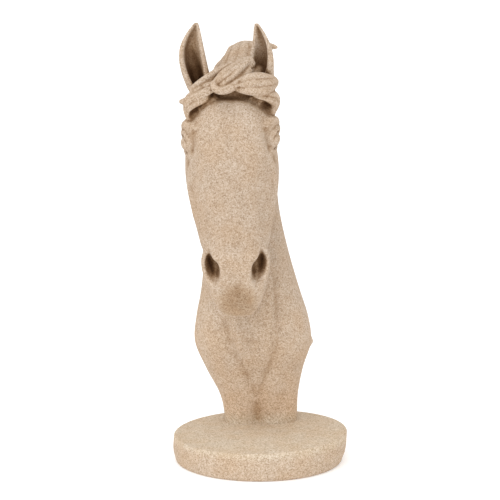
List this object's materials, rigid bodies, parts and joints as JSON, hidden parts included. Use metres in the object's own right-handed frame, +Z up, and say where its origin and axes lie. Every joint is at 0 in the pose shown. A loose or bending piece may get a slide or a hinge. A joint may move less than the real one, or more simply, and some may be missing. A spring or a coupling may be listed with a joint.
{
  "type": "horse head sculpture",
  "caption": "Horse head and arched neck with pricked ears, wavy forelock and fallen mane, cast in one piece with a low round base; a free-standing ornament.",
  "frame": {"origin": "centre of the round base on its underside, which is the ground", "axes": "+Z up, -Y the way the horse looks, +X the left side of the horse, where the mane falls"},
  "size_m": [0.1397, 0.1866, 0.3492],
  "materials": {
    "cast_sandstone": "matte"
  },
  "bodies": {
    "root": {"horse_head_sculpture": "cast_sandstone"}
  },
  "joints": []
}
